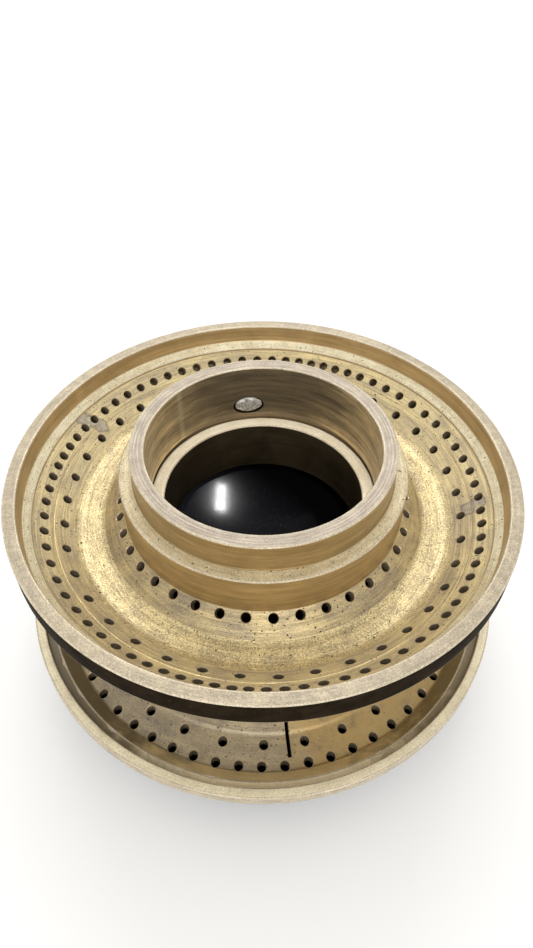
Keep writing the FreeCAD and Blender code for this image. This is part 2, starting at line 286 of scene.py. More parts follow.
# ------------------------------------------------------------------ materials

class Graph:
    """A material under construction, with short ways to add and link nodes."""

    def __init__(self, name):
        self.material = bpy.data.materials.new(name)
        self.material.use_nodes = True
        self.tree = self.material.node_tree
        self.tree.nodes.clear()
        self.shader = self.add("BsdfPrincipled")
        output = self.add("OutputMaterial")
        self.tree.links.new(self.shader.outputs[0], output.inputs["Surface"])
        self.place = self.vector("SCALE", self.add("TexCoord").outputs["Object"], scale=1 / MM)
        self.split = self.add("SeparateXYZ", Vector=self.place).outputs
        flat = self.vector("MULTIPLY", self.place, (1, 1, 0))
        self.radius = self.vector("LENGTH", flat)
        unit = self.add("SeparateXYZ", Vector=self.vector("NORMALIZE", flat)).outputs
        self.cosine, self.sine = unit["X"], unit["Y"]

    def add(self, kind, props=None, **inputs):
        node = self.tree.nodes.new("ShaderNode" + kind)
        for key, value in (props or {}).items():
            setattr(node, key, value)
        for key, value in inputs.items():
            self.feed(node.inputs[key.replace("_", " ")], value)
        return node

    def feed(self, socket, value):
        if isinstance(value, bpy.types.NodeSocket):
            self.tree.links.new(value, socket)
        elif isinstance(value, (tuple, list)) and len(value) == 3 and socket.type == "RGBA":
            socket.default_value = (*value, 1)
        else:
            socket.default_value = value

    def math(self, operation, a, b=0.0, clamp=False):
        node = self.add("Math", {"operation": operation, "use_clamp": clamp})
        self.feed(node.inputs[0], a)
        self.feed(node.inputs[1], b)
        return node.outputs[0]

    def vector(self, operation, a, b=(0, 0, 0), scale=1.0):
        node = self.add("VectorMath", {"operation": operation})
        self.feed(node.inputs[0], a)
        if operation == "SCALE":
            node.inputs["Scale"].default_value = scale
        elif operation not in ("LENGTH", "NORMALIZE"):
            self.feed(node.inputs[1], b)
        return node.outputs["Value" if operation in ("LENGTH", "DISTANCE") else "Vector"]

    def noise(self, size_mm, detail=3.0, rough=0.55, distort=0.0, shift=0.0):
        """Plain noise whose blotches are about size_mm across."""
        moved = self.vector("ADD", self.place, (shift, shift * 0.7, -shift))
        return self.add("TexNoise", Vector=moved, Scale=1 / size_mm, Detail=detail, Roughness=rough,
                        Distortion=distort).outputs["Fac"]

    def turning(self, pitch_mm, round_share, detail=2.0, rough=0.6):
        """Noise drawn out round the axis, as a turning tool leaves it."""
        vector = self.add("CombineXYZ", X=self.math("DIVIDE", self.radius, pitch_mm),
                          Y=self.math("DIVIDE", self.split["Z"], pitch_mm),
                          Z=self.math("MULTIPLY", self.cosine, round_share)).outputs[0]
        return self.add("TexNoise", {"noise_dimensions": "4D"}, Vector=vector, Scale=1.0, Detail=detail,
                        Roughness=rough, W=self.math("MULTIPLY", self.sine, round_share)).outputs["Fac"]

    def ramp(self, value, low, high, start=0.0, end=1.0):
        """Smooth step from start, where the value is low, to end, where it is high."""
        return self.add("MapRange", {"interpolation_type": "SMOOTHSTEP"}, Value=value, From_Min=low,
                        From_Max=high, To_Min=start, To_Max=end).outputs[0]

    def mix(self, factor, a, b, blend="MIX"):
        node = self.add("Mix", {"data_type": "RGBA", "blend_type": blend})
        self.feed(node.inputs[0], factor)
        self.feed(node.inputs[6], a)
        self.feed(node.inputs[7], b)
        return node.outputs[2]

    def near(self, points, reach, ragged=1.2, ragged_mm=2.0, shift=3.0):
        """From 1 near any of the points, in millimetres, to 0 past its reach, with a ragged border."""
        spread = self.math("SUBTRACT", self.noise(ragged_mm, 3, shift=shift), 0.5)
        wander = self.math("MULTIPLY", spread, ragged * 2)
        total = None
        for point in points:
            distance = self.math("ADD", self.vector("DISTANCE", self.place, tuple(point)), wander)
            mask = self.ramp(distance, reach * 0.6, reach, 1.0, 0.0)
            total = mask if total is None else self.math("MAXIMUM", total, mask)
        return total

    def bump(self, height, distance_mm, strength=1.0, normal=None):
        node = self.add("Bump", Height=height, Distance=distance_mm * MM, Strength=strength)
        if normal is not None:
            self.feed(node.inputs["Normal"], normal)
        return node.outputs[0]

    def finish(self, colour, roughness, normal=None, **fixed):
        self.feed(self.shader.inputs["Base Color"], colour)
        self.feed(self.shader.inputs["Roughness"], roughness)
        if normal is not None:
            self.feed(self.shader.inputs["Normal"], normal)
        for key, value in fixed.items():
            self.shader.inputs[key.replace("_", " ")].default_value = value
        return self.material


STAIN = (0.24, 0.22, 0.2)


def shade(colour, factor):
    """A colour made lighter or darker by a factor."""
    return tuple(min(1, c * factor) for c in colour)


def brass(name, light, dark, rough, aniso=0.5, lines=0.5, pitch=0.3, grain=0.0, grain_mm=0.3, specks=0.0,
          blotch_mm=9.0, contrast=1.0, rings=0.35, stains=(), extra=None, metal=0.4):
    """Turned brass. light and dark are the two ends of its colour, shared out by blotches and rings. lines,
    grain and specks are its relief. stains holds the places and the reach of a film, and extra is a
    function that changes the colour and the roughness."""
    g = Graph(name)
    blotch = g.noise(blotch_mm, 5, 0.62, 0.6)
    bands = g.turning(1.4, 1.2, 3)
    tone = g.math("ADD", g.math("MULTIPLY", blotch, 1 - rings), g.math("MULTIPLY", bands, rings))
    share = g.ramp(tone, 0.5 - 0.17 / contrast, 0.5 + 0.17 / contrast)
    colour = g.mix(share, light, dark)
    fine = g.turning(pitch, 5.0, 3, 0.7)
    colour = g.mix(g.ramp(fine, 0.40, 0.66, 0.0, 0.34 * lines), colour, shade(dark, 0.45))
    height = g.math("MULTIPLY", fine, lines)
    roughness = g.math("ADD", g.math("MULTIPLY", fine, 0.22), rough - 0.11)
    if grain:
        grit = g.noise(grain_mm, 2, 0.5, shift=11)
        height = g.math("ADD", height, g.math("MULTIPLY", grit, grain))
        hollow = g.ramp(grit, 0.52, 0.36, 0.0, min(0.55 * grain, 0.8))
        colour = g.mix(hollow, colour, shade(dark, 0.35))
        fleck = g.ramp(grit, 0.55, 0.68, 0.0, min(0.6 * grain, 0.8))
        colour = g.mix(fleck, colour, shade(light, 1.4))
    if specks:
        pit = g.ramp(g.noise(grain_mm * 1.9, 1, 0.4, shift=29), 0.70 - 0.06 * specks, 0.76 - 0.06 * specks)
        colour = g.mix(pit, colour, shade(dark, 0.12))
        height = g.math("SUBTRACT", height, g.math("MULTIPLY", pit, 1.2))
        roughness = g.math("ADD", roughness, g.math("MULTIPLY", pit, 0.3))
    if stains:
        mask = g.near(*stains)
        rim = g.math("MULTIPLY", mask, g.math("SUBTRACT", 1.0, mask))
        film = g.mix(g.noise(1.1, 4, 0.6), STAIN, shade(STAIN, 1.9))
        patchy = g.ramp(g.noise(1.3, 4, 0.7, shift=9), 0.38, 0.60, 0.25, 0.85)
        colour = g.mix(g.math("MULTIPLY", mask, patchy), colour, film)
        colour = g.mix(g.math("MULTIPLY", rim, 2.2, clamp=True), colour, shade(STAIN, 0.4))
        roughness = g.math("ADD", roughness, g.math("MULTIPLY", mask, 0.15))
        height = g.math("ADD", height, g.math("MULTIPLY", mask, 0.8))
    if extra:
        colour, roughness = extra(g, colour, roughness)
    normal = g.bump(height, 0.05)
    tangent = g.add("Tangent", {"direction_type": "RADIAL", "axis": "Z"}).outputs[0]
    g.feed(g.shader.inputs["Tangent"], tangent)
    return g.finish(colour, roughness, normal, Metallic=metal, Anisotropic=aniso)


GOLD = (0.54, 0.375, 0.165)
OLD_GOLD = (0.33, 0.222, 0.092)

worn_edge = brass("worn_edge_brass", (0.72, 0.62, 0.45), (0.50, 0.42, 0.29), rough=0.46, aniso=0.2,
                  lines=0.2, grain=0.7, grain_mm=0.35, metal=0.2)
port_wall = brass("port_wall_brass", (0.36, 0.29, 0.19), (0.17, 0.135, 0.09), rough=0.5, aniso=0.0,
                  lines=0.2, blotch_mm=1.5)
port_edge = brass("port_edge_brass", (0.60, 0.49, 0.31), (0.40, 0.32, 0.19), rough=0.36, aniso=0.0,
                  lines=0.2, blotch_mm=1.0)
rim_top = brass("rim_top_brass", (0.60, 0.505, 0.345), (0.42, 0.35, 0.25), rough=0.50, aniso=0.2,
                lines=0.8, pitch=0.4, grain=0.6, grain_mm=0.3, specks=0.0, blotch_mm=3.0, contrast=1.2,
                rings=0.3, metal=0.15)
rim_wall = brass("rim_wall_brass", (0.64, 0.465, 0.235), (0.40, 0.28, 0.13), rough=0.34, aniso=0.6,
                 lines=0.9, pitch=0.5, blotch_mm=12, rings=0.55)
band = brass("band_brass", (1.0, 0.92, 0.64), (0.76, 0.63, 0.38), rough=0.34, aniso=0.5, lines=0.7,
             pitch=0.35, grain=0.7, grain_mm=0.28, specks=0.35, blotch_mm=6.0, metal=0.3)
pitted = brass("pitted_brass", (0.99, 0.79, 0.40), (0.56, 0.435, 0.245), rough=0.44, aniso=0.55,
               lines=1.4, pitch=0.42, grain=1.0, grain_mm=0.32, specks=0.2, blotch_mm=5.0)
stain_points = [polar(59.2, 152.5, 66.5), polar(56.5, 151.0, 64.5), polar(61.0, 153.5, 68.5),
                polar(58.6, -4.0, 66.4), polar(56.0, -5.0, 64.8)]
STAIN_REACH = 2.6


def bright_foot(g, colour, roughness):
    """Granular bright metal on the foot of the outer cone, with a ragged upper border."""
    wander = g.math("MULTIPLY", g.math("SUBTRACT", g.noise(2.2, 4, 0.65, shift=17), 0.5), 3.4)
    share = g.ramp(g.math("ADD", g.radius, wander), 51.6, 52.5, 0.85, 0.0)
    grit = g.noise(0.32, 2, 0.5, shift=11)
    bright = g.mix(g.ramp(grit, 0.40, 0.52), (0.56, 0.45, 0.26), (0.92, 0.78, 0.48))
    return g.mix(share, colour, bright), roughness


def painted_back_shade_and_streak(g, colour, roughness):
    """Painted shade makes the bore darker at the back, and a painted highlight is one pale streak down its
    left side.
    """
    wander = g.math("MULTIPLY", g.math("SUBTRACT", g.turning(2.5, 1.5, 3), 0.5), 0.7)
    back = g.ramp(g.math("ADD", g.sine, wander), 0.40, 0.95, 0.0, 0.80)
    colour = g.mix(back, colour, (0.085, 0.066, 0.046))
    streak = g.ramp(g.math("ABSOLUTE", g.math("ADD", g.cosine, 0.77)), 0.0, 0.03, 0.35, 0.0)
    return g.mix(streak, colour, (0.80, 0.67, 0.46)), roughness


def gold_side(g, colour, roughness):
    """The lower floor is greyer at the left and more golden at the right."""
    wander = g.math("MULTIPLY", g.math("SUBTRACT", g.noise(8, 4, shift=6), 0.5), 0.5)
    side = g.ramp(g.math("ADD", g.cosine, wander), 0.0, 0.3, 0.0, 0.8)
    dull = g.ramp(g.noise(6, 5, 0.65, shift=21), 0.52, 0.70, 0.0, 0.5)
    colour = g.mix(side, colour, (0.45, 0.30, 0.10))
    return g.mix(dull, colour, (0.16, 0.125, 0.095)), roughness


def painted_side_shade(g, colour, roughness):
    """Painted shade on the slope and the wall of the lower rim: darker on both sides, most of all on the
    left.
    """
    wander = g.math("MULTIPLY", g.math("SUBTRACT", g.noise(7, 5, 0.65, shift=13), 0.5), 0.9)
    left = g.ramp(g.math("ADD", g.cosine, wander), -0.20, -0.70, 0.0, 0.88)
    right = g.ramp(g.math("ADD", g.cosine, wander), 0.30, 0.75, 0.0, 0.85)
    colour = g.mix(right, colour, (0.17, 0.122, 0.052))
    return g.mix(left, colour, (0.13, 0.10, 0.055)), roughness


turned = brass("turned_cone_brass", (1.0, 0.81, 0.41), (0.53, 0.43, 0.28), rough=0.34, aniso=0.7,
               lines=1.5, pitch=0.5, grain=0.4, grain_mm=0.3, specks=0.2, blotch_mm=11.0, contrast=0.9,
               rings=0.5, stains=(stain_points, STAIN_REACH), extra=bright_foot)
inner_cone = brass("inner_cone_brass", (0.68, 0.53, 0.26), (0.34, 0.275, 0.175), rough=0.34, aniso=0.7,
                   lines=1.4, pitch=0.45, grain=0.45, grain_mm=0.32, specks=0.2, blotch_mm=9.0)
under = brass("unseen_side_brass", (0.34, 0.25, 0.135), (0.20, 0.145, 0.075), rough=0.45, aniso=0.4,
              lines=0.8, pitch=0.5, blotch_mm=16)
hub_wall = brass("hub_wall_brass", GOLD, OLD_GOLD, rough=0.34, aniso=0.6, lines=0.9, pitch=0.5,
                 blotch_mm=12, rings=0.6)
collar_wall = brass("collar_wall_brass", (0.46, 0.315, 0.13), (0.28, 0.187, 0.074), rough=0.34, aniso=0.6,
                    lines=1.1, pitch=0.5, blotch_mm=12, rings=0.6)
shoulder = brass("shoulder_brass", (0.82, 0.69, 0.44), (0.58, 0.47, 0.28), rough=0.46, aniso=0.3,
                 lines=0.9, pitch=0.4, grain=0.6, grain_mm=0.28, specks=0.25, blotch_mm=6.0, metal=0.2)
collar_top = brass("collar_top_brass", (0.62, 0.53, 0.41), (0.43, 0.36, 0.275), rough=0.50, aniso=0.2,
                   lines=1.2, pitch=0.45, grain=0.5, grain_mm=0.3, specks=0.0, blotch_mm=4.0, metal=0.15)
# the bore takes painted shade at the back and a painted highlight streak at the left
bore = brass("bore_brass", (1.0, 0.74, 0.36), (0.42, 0.30, 0.155), rough=0.34, aniso=0.6, lines=1.4,
             pitch=0.7, blotch_mm=7, rings=0.7, extra=painted_back_shade_and_streak)
neck_top = brass("neck_top_brass", (1.0, 0.90, 0.68), (0.86, 0.74, 0.52), rough=0.42, aniso=0.2,
                 lines=0.6, pitch=0.4, grain=0.6, grain_mm=0.3, specks=0.0, blotch_mm=4.0, metal=0.1)
# The neck wall is painted near-black: painted shade deep inside the bore.
painted_shade_neck_wall = brass("neck_wall_painted_shade_brass", (0.075, 0.055, 0.03), (0.035, 0.026, 0.014), rough=0.40, aniso=0.4,
                  lines=0.8, pitch=0.5)
pan_floor = brass("pan_floor_brass", (0.52, 0.42, 0.25), (0.30, 0.245, 0.165), rough=0.40, aniso=0.5,
                  lines=0.9, pitch=0.4, grain=0.4, grain_mm=0.35, specks=0.2, blotch_mm=9.0,
                  extra=gold_side)
low_rim_top = brass("lower_rim_top_brass", (1.0, 0.90, 0.62), (0.82, 0.71, 0.48), rough=0.45, aniso=0.2,
                    lines=0.6, pitch=0.4, grain=0.55, grain_mm=0.3, specks=0.0, blotch_mm=4.0, metal=0.2)
# the lower rim's wall, ledge and slope take painted shade at both sides
low_wall = brass("lower_wall_brass", (0.80, 0.66, 0.42), (0.58, 0.46, 0.27), rough=0.40, aniso=0.4,
                 lines=0.7, pitch=0.5, blotch_mm=7, metal=0.3, extra=painted_side_shade)
ledge = brass("ledge_brass", (1.0, 0.88, 0.60), (0.85, 0.71, 0.44), rough=0.42, aniso=0.3, lines=0.4,
              pitch=0.4, grain=0.3, grain_mm=0.3, metal=0.1, extra=painted_side_shade)
chatter = brass("chatter_brass", (1.0, 0.80, 0.43), (0.76, 0.58, 0.29), rough=0.38, aniso=0.3, lines=0.3,
                pitch=0.4, grain=0.3, grain_mm=0.3, metal=0.2, extra=painted_side_shade)


def black_enamel(name, base, ior, coat):
    """Gloss enamel with orange peel and a little dust, under a softer burnt-in haze."""
    g = Graph(name)
    dust = g.ramp(g.noise(0.35, 2, shift=5), 0.66, 0.74)
    cloud = g.noise(14, 4, shift=2)
    colour = g.mix(g.math("MULTIPLY", dust, 0.35), (base, base, base * 1.3), (0.03, 0.03, 0.03))
    dusty = g.math("ADD", g.math("MULTIPLY", dust, 0.2), 0.09)
    roughness = g.math("ADD", g.math("MULTIPLY", cloud, 0.06), dusty)
    normal = g.bump(g.noise(2.6, 2, shift=8), 0.012)
    return g.finish(colour, roughness, normal, IOR=ior, Coat_Weight=coat, Coat_Roughness=0.24, Coat_IOR=1.09)


def painted_shade_brass(name):
    """Near-black turned brass whose colour is painted shade, with a few paler flecks."""
    g = Graph(name)
    fine = g.turning(0.5, 2.0)
    colour = g.mix(g.ramp(g.noise(6, 4), 0.35, 0.65), (0.011, 0.0072, 0.0035), (0.022, 0.0145, 0.0075))
    colour = g.mix(g.ramp(g.noise(1.1, 3, shift=4), 0.66, 0.76, 0.0, 0.5), colour, (0.09, 0.065, 0.036))
    return g.finish(colour, g.ramp(fine, 0.3, 0.7, 0.42, 0.55), g.bump(fine, 0.02), IOR=1.05,
                    Specular_IOR_Level=0.3)


def graphite(name):
    """Pressed graphite sheet with its flakes."""
    g = Graph(name)
    flake = g.noise(0.5, 4, 0.7)
    colour = g.mix(g.ramp(flake, 0.4, 0.65), (0.030, 0.030, 0.033), (0.085, 0.085, 0.09))
    return g.finish(colour, g.ramp(flake, 0.3, 0.7, 0.45, 0.7), g.bump(flake, 0.03), Metallic=0.3)


def steel(name):
    """Ground steel."""
    g = Graph(name)
    scratch = g.turning(0.2, 3.0)
    colour = g.mix(g.ramp(scratch, 0.35, 0.65), (0.50, 0.50, 0.50), (0.68, 0.68, 0.67))
    return g.finish(colour, g.ramp(scratch, 0.3, 0.7, 0.22, 0.38), g.bump(scratch, 0.01), Metallic=1.0)


def solder(name):
    """Dull, lumpy solder with bright high spots."""
    g = Graph(name)
    lump = g.noise(0.8, 5, 0.7)
    colour = g.mix(g.ramp(lump, 0.40, 0.60), (0.27, 0.25, 0.215), (0.70, 0.67, 0.62))
    return g.finish(colour, g.ramp(lump, 0.3, 0.7, 0.55, 0.38), g.bump(lump, 0.25), Metallic=0.45)


# ------------------------------------------------------------------ upper head

RIM_R, RIM_Z = DISH_HIGH.x, DISH_HIGH.z
RIM_IN_R = RIM_R - 3.35
RIM_FOOT_Z = RIM_Z - 7.5
LAND_R = RIM_R - 3.4
SPIGOT_R = HUB_R - 2.7
HUB_FOOT_Z = RIM_Z - 11.1
VALLEY_Z = RIM_Z - 15.3
VALLEY_R = (HUB_R + 6.3, HUB_R + 12.5)
CONE_HEAD = (RIM_R - 5.8, RIM_FOOT_Z)
BAND_Z = (RIM_FOOT_Z + 0.5, RIM_FOOT_Z + 2.4)
DISH_WALL = 3.4
OUTER_CONE = ((VALLEY_R[1], VALLEY_Z), CONE_HEAD)
INNER_CONE = ((HUB_R, HUB_FOOT_Z), (VALLEY_R[0], VALLEY_Z))
SCRIBE_R = 56.7
SCRIBE_HALF = 0.16
SCRIBE_DEPTH = 0.12
DISH_TURN = even_turn(640)
# a row of ports: how many, radius, first angle, and the drifts of indexed_angles
OUTER_ROW = (78, 58.8, -174.68,
             ((2.1, 1, 1.94), (1.32, 2, -0.03), (0.64, 3, -1.41), (1.66, 4, -1.63), (0.32, 7, -1.4)))
SECOND_ROW = (39, 54.2, -179.46, ((1.66, 1, 1.51), (1.05, 2, -1.99)))
INNER_ROW = (38, 39.5, -169.51, ((2.09, 1, 2.7), (1.04, 2, 3.09)))


def scribed_cone():
    """The outer cone from the valley outwards, with turned grooves and one deep scribed line."""
    points = grooved(OUTER_CONE, 53.4, SCRIBE_R - 0.5, 6, 0.035, "cone", 3)
    for offset, sink in ((-SCRIBE_HALF, 0), (0, SCRIBE_DEPTH), (SCRIBE_HALF, 0)):
        radius = SCRIBE_R + offset
        points.append((radius, on_line(OUTER_CONE, radius) - sink, "cone"))
    return points + grooved(OUTER_CONE, SCRIBE_R + 0.6, 61.3, 5, 0.03, "cone", 5)


def worn(r, z, angle, zone):
    """Slight dents and waviness of the outer edges."""
    if zone not in ("edge", "rim_top"):
        return 0, 0
    dent = 0.05 * math.sin(37 * angle + 1.3) * math.sin(11 * angle) - 0.05
    return 0, dent * max(0.0, math.sin(5 * angle + r))


def make_dish():
    """Dish of the upper head, with its three rows of ports."""
    outline = [
        (SPIGOT_R, HUB_FOOT_Z, "under"), (HUB_R, HUB_FOOT_Z, "inner"),
        *grooved(INNER_CONE, HUB_R + 0.3, VALLEY_R[0] - 0.6, 4, 0.03, "inner", 9),
        (VALLEY_R[0], VALLEY_Z, "pitted", 1.6),
        (VALLEY_R[1], VALLEY_Z, "cone", 2.4, "pitted"), *scribed_cone(),
        (*CONE_HEAD, "wall", 0.12), (CONE_HEAD[0], BAND_Z[0], "band", 0.2, "edge"),
        (RIM_IN_R - 0.25, BAND_Z[1], "wall", 0.3), (RIM_IN_R, RIM_Z, "rim_top", 0.4, "edge"),
        # the outer wall of the rim takes the near-black painted shade
        (RIM_R, RIM_Z, "dark", 0.35, "edge"), (RIM_R, RIM_FOOT_Z, "under", 0.4),
        (LAND_R, RIM_FOOT_Z, "under"), (LAND_R, CONE_HEAD[1] - 2.0, "under"),
        (VALLEY_R[1] + 0.3, VALLEY_Z - DISH_WALL, "under"),
        (VALLEY_R[0], VALLEY_Z - DISH_WALL, "under"), (HUB_R, HUB_FOOT_Z - DISH_WALL, "under"),
        (SPIGOT_R, HUB_FOOT_Z - DISH_WALL, "under")]
    materials = {"other": under, "under": under, "inner": inner_cone, "pitted": pitted, "band": band,
                 "cone": turned, "wall": rim_wall, "rim_top": rim_top, "edge": worn_edge, "dark": painted_shade_wall}
    steps = {"other": 1.0, "under": 4.0, "dark": 2.5}
    dish = lathe("upper_dish_turned", outline, DISH_TURN, materials, steps, worn)
    bits = Bits()
    outer_tilt = math.atan2(CONE_HEAD[1] - VALLEY_Z, CONE_HEAD[0] - VALLEY_R[1])
    inner_tilt = -math.atan2(HUB_FOOT_Z - VALLEY_Z, VALLEY_R[0] - HUB_R)
    rows = ((OUTER_ROW, OUTER_CONE, outer_tilt), (SECOND_ROW, OUTER_CONE, outer_tilt),
            (INNER_ROW, INNER_CONE, inner_tilt))
    for row, ((count, radius, start, drifts), line, tilt) in enumerate(rows):
        for index, angle in enumerate(indexed_angles(count, start, drifts)):
            point = polar(radius, angle, on_line(line, radius))
            axis = polar(-math.sin(tilt), angle, math.cos(tilt))
            bits.drill(point, axis, 0.0, 5.5, wobble=0.08, seed=1000 * row + index)
    cut(dish, bits.make("dish_ports", [port_wall, port_edge]))
    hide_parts("upper_port_dish")
    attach(dish, "upper_head")


TOP_GROOVES = (0.95, 1.75, 2.6)         # distances of the grooves from the outer edge of the collar's top
TOP_GROOVE_HALF = 0.17
TOP_GROOVE_DEPTH = 0.08


def lathe_rings(radius, height, insets):
    """Shallow grooves left by the turning tool on a flat top, from the outside inwards."""
    points = []
    for inset in insets:
        for offset, sink in ((TOP_GROOVE_HALF, 0), (0, TOP_GROOVE_DEPTH), (-TOP_GROOVE_HALF, 0)):
            points.append((radius - inset + offset, height - sink, "top"))
    return points


def make_collar():
    """Stepped collar of the upper head, with the cross-drilled seat of the plug."""
    tail_z = COLLAR_LOW.z
    socket_r = BORE_R + 0.7
    outline = [
        (socket_r, tail_z, "under"), (HUB_R - 4.8, tail_z, "under"), (HUB_R - 4.8, HUB_FOOT_Z - 6.4, "under"),
        (SPIGOT_R, HUB_FOOT_Z - 4.9, "under"), (SPIGOT_R, HUB_FOOT_Z, "under"), (HUB_R, HUB_FOOT_Z, "hub"),
        (HUB_R, SHOULDER_Z, "shoulder", 0.35, "edge"), (COLLAR_R, SHOULDER_Z, "collar", 0.3),
        (COLLAR_R, TOP_Z, "top", 0.45, "edge"), *lathe_rings(COLLAR_R, TOP_Z, TOP_GROOVES),
        (BORE_R, TOP_Z, "bore", 0.4, "edge"),
        (BORE_R, SOCKET_END_Z, "under", 0.2), (socket_r, SOCKET_END_Z, "under")]
    materials = {"other": under, "under": under, "hub": hub_wall, "collar": collar_wall,
                 "shoulder": shoulder, "top": collar_top, "bore": bore, "edge": worn_edge}
    steps = {"other": 1.0, "under": 5.0, "hub": 1.5, "bore": 1.2}
    collar = lathe("upper_collar_turned", outline, even_turn(480), materials, steps, worn)
    bits = Bits()
    outward = polar(1, PLUG_ANGLE, 0)
    sideways = Vector((-outward.y, outward.x, 0))
    rings = []
    for depth, grow in ((BORE_R - 1.5, 1.14), (BORE_R + 0.3, 1.07), (BORE_R + 0.9, 1.0)):
        ring = []
        for step in range(32):
            turn = 2 * math.pi * step / 32
            ring.append(outward * depth + sideways * (PLUG_HALF[0] * grow * math.cos(turn))
                        + Vector((0, 0, PLUG_Z + PLUG_HALF[1] * grow * math.sin(turn))))
        rings.append(ring)
    bits.rings(rings, [0, 0])
    # the walls of the plug seat take near-black painted shade round the plug
    cut(collar, bits.make("plug_seat", [painted_shade_wall]))
    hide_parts("upper_collar")
    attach(collar, "upper_head")


def make_plug():
    """Lumpy oval plug that fills the cross-drilled hole nearly flush with the bore."""
    verts, faces = [], []
    around, layers = 40, 9
    dice = random.Random(7)
    ragged = [dice.uniform(0.9, 1.03) for _ in range(around)]
    for layer in range(layers):
        share = layer / (layers - 1)
        for step in range(around):
            turn = 2 * math.pi * step / around
            reach = share * (ragged[step] + ragged[step - 1]) / 2
            across = PLUG_HALF[0] * 0.98 * reach * math.cos(turn)
            height = PLUG_HALF[1] * 0.95 * reach * math.sin(turn)
            lump = 0.12 * math.sin(2.3 * across + 0.6) * math.cos(2.9 * height)
            depth = 0.25 * (1 - share ** 4) - 0.35 * share ** 6 + lump * (1 - share)
            verts.append(plug_point(across, height, BORE_R - depth))
    for layer in range(layers - 1):
        for step in range(around):
            n = (step + 1) % around
            a, b = layer * around, (layer + 1) * around
            faces.append((a + step, a + n, b + n, b + step))
    base = len(verts)
    for step in range(around):
        turn = 2 * math.pi * step / around
        across = PLUG_HALF[0] * 0.9 * math.cos(turn)
        height = PLUG_HALF[1] * 0.9 * math.sin(turn)
        verts.append(plug_point(across, height, BORE_R + 0.75))
    last = (layers - 1) * around
    for step in range(around):
        n = (step + 1) % around
        faces.append((last + step, last + n, base + n, base + step))
    faces.append([base + step for step in range(around)])
    mesh = bpy.data.meshes.new("solder_plug")
    mesh.from_pydata(verts, [], faces)
    mesh.materials.append(solder("dull_solder"))
    weld(mesh)
    tidy_normals(mesh)
    plug = finish_mesh("solder_plug", mesh)
    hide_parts("collar_plug")
    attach(plug, "upper_head")


def plug_point(across, height, radius):
    """Point of the plug, in metres, from its place on the bore wall."""
    turn = math.radians(PLUG_ANGLE) + across / BORE_R
    return (radius * math.cos(turn) * MM, radius * math.sin(turn) * MM, (PLUG_Z + height) * MM)


def tidy_normals(mesh):
    """Turns every face of a closed shell outwards."""
    shell = bmesh.new()
    shell.from_mesh(mesh)
    bmesh.ops.recalc_face_normals(shell, faces=shell.faces)
    shell.to_mesh(mesh)
    shell.free()


# ------------------------------------------------------------------ lower head

LOW_RIM_R, LOW_RIM_Z = PAN_HIGH.x, 30.4
LOW_RIM_IN_R = LOW_RIM_R - 2.6
LEDGE_Z = LOW_RIM_Z - 2.4
LOW_VALLEY = (LOW_RIM_R - 9.1, LOW_RIM_Z - 6.9)
LOW_CONE_FOOT = (51.4, 26.2)
LOW_CONE_HEAD_Z = 42.0
LOW_FLOOR = (LOW_CONE_FOOT, LOW_VALLEY)
CHATTER_ARC = (-118.0, -36.0)
CHATTER_PITCH = 0.62
CHATTER_DEPTH = 0.07
LOW_OUTER_ROW = (58, 59.1, -139.48, ((0.87, 3, 0.79),))
LOW_SECOND_ROW = (31, 53.9, -136.03, ())
SLOT_ANGLE = -82.6
SLOT_R = (44.0, 57.3)
SLOT_HALF = 0.5
ANGLE_STEP = 0.9
CHATTER_STEP = 0.15
# nicks on the inner edge of the rim: angle, width in degrees, depth
RIM_NICKS = ((-150.5, 0.9, 0.5), (-141.0, 1.4, 0.35), (-128.0, 1.2, 0.6), (-101.5, 1.8, 0.3),
             (-62.0, 0.8, 0.25), (-170.0, 1.0, 0.3), (35.0, 1.3, 0.3), (120.0, 1.0, 0.4))


def pan_angles():
    """Angles round the lower head, close together where the chatter marks are."""
    angles = []
    angle = -180.0
    while angle < 180.0 - 1e-6:
        angles.append(math.radians(angle))
        angle += CHATTER_STEP if CHATTER_ARC[0] <= angle < CHATTER_ARC[1] else ANGLE_STEP
    return angles


def pan_relief(r, z, angle, zone):
    """Chatter marks on the lower slope and nicks on the inner edge of the rim."""
    degrees = math.degrees(angle)
    if zone == "chatter":
        low, high = CHATTER_ARC
        fade = max(0.0, min(1.0, (degrees - low) / 14, (high - degrees) / 16))
        across = max(0.0, min(1.0, (r - LOW_VALLEY[0]) / 0.5, (LOW_RIM_IN_R - 2.6 - r) / 0.4))
        wave = math.sin(2 * math.pi * (r * angle) / CHATTER_PITCH)
        return 0, CHATTER_DEPTH * fade * across * (wave - 0.4)
    if zone in ("edge", "rim_top"):
        nick = 0.0
        for place, width, depth in RIM_NICKS:
            nick += depth * math.exp(-((degrees - place) / width) ** 2)
        inner = max(0.0, 1 - (r - LOW_RIM_IN_R + 0.2) / 1.2)
        outer = worn(r, z, angle, zone)[1]
        return nick * 0.35 * inner, outer - nick * 0.15 * inner
    return 0, 0


